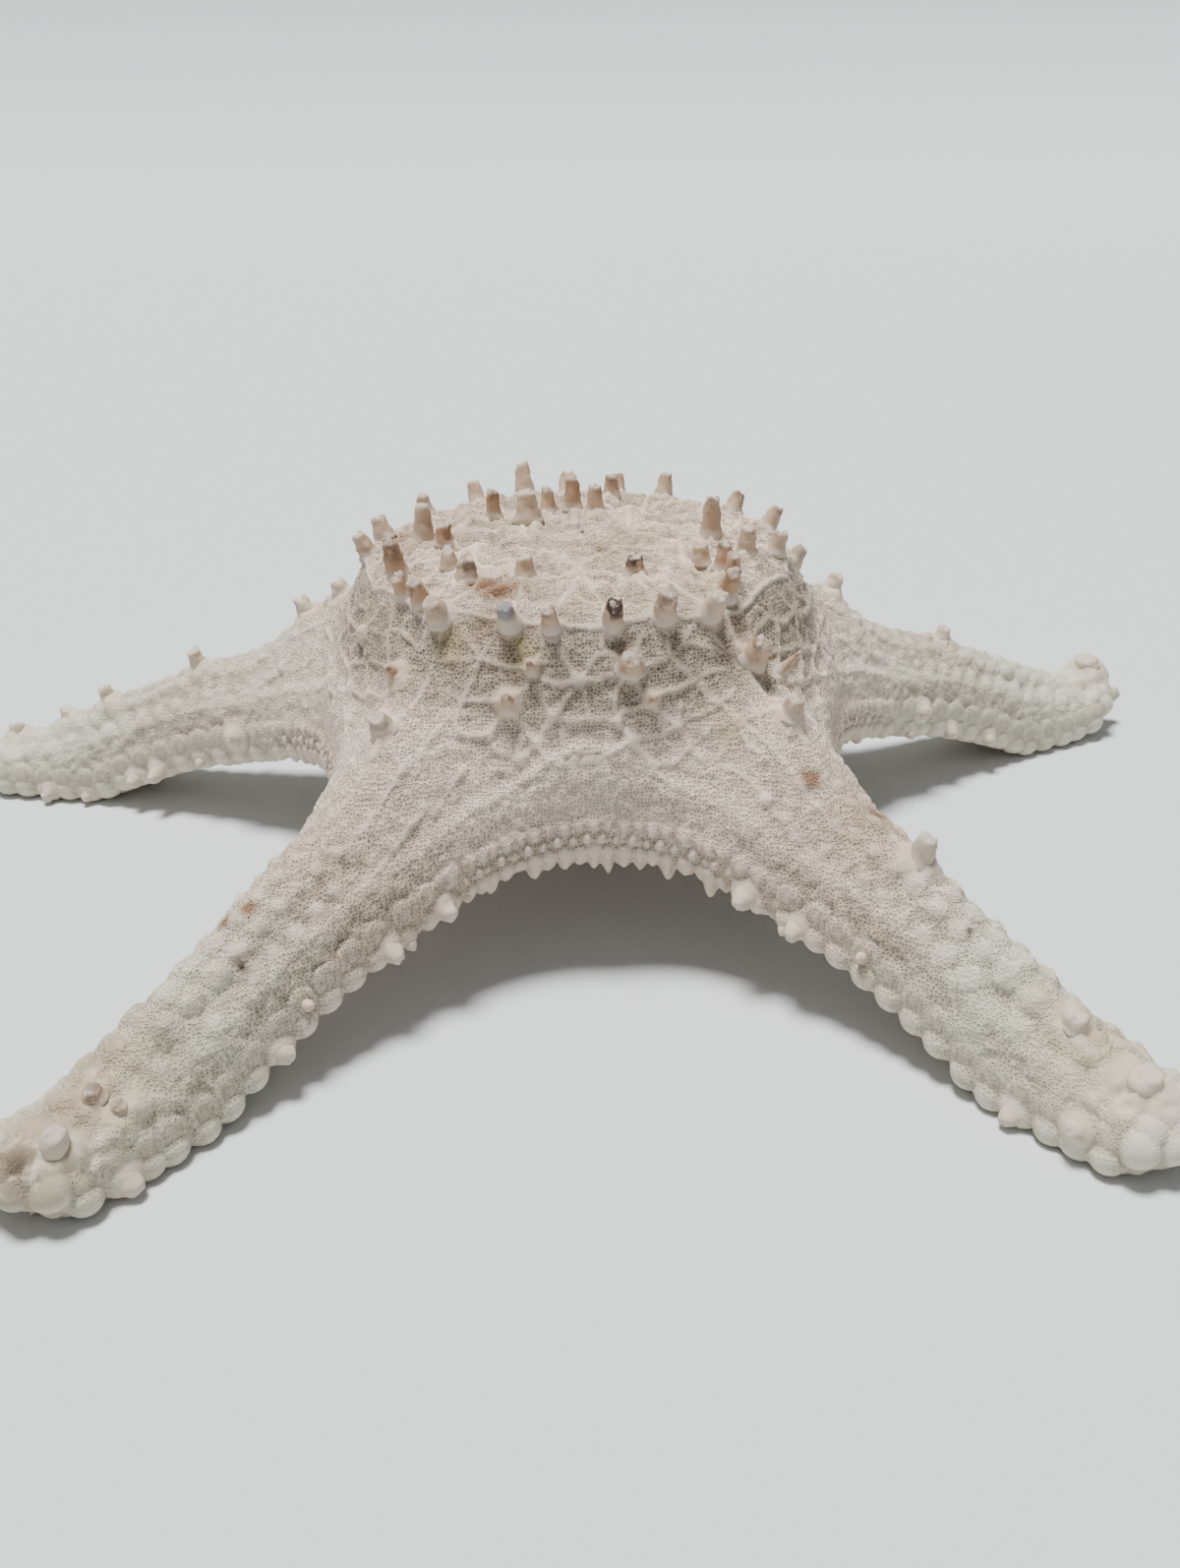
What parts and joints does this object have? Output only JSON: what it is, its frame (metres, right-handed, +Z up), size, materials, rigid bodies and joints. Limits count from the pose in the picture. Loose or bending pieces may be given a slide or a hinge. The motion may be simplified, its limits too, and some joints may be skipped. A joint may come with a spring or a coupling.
{
  "type": "dried starfish",
  "caption": "Dried cushion starfish with a domed, spiny disc, standing on arched tapering arms edged with bead-like plates.",
  "frame": {"origin": "on the floor, under the middle of the outer box", "axes": "+Z up, out of the domed upper side; -Y towards the gap between the two front arms, which the picture was taken from; +X to that viewer's right"},
  "size_m": [0.284, 0.2726, 0.0773],
  "materials": {
    "skeleton": "dry, matt, finely pored lime plates with brown and grey stains"
  },
  "bodies": {
    "root": {"starfish": "skeleton"}
  },
  "joints": []
}
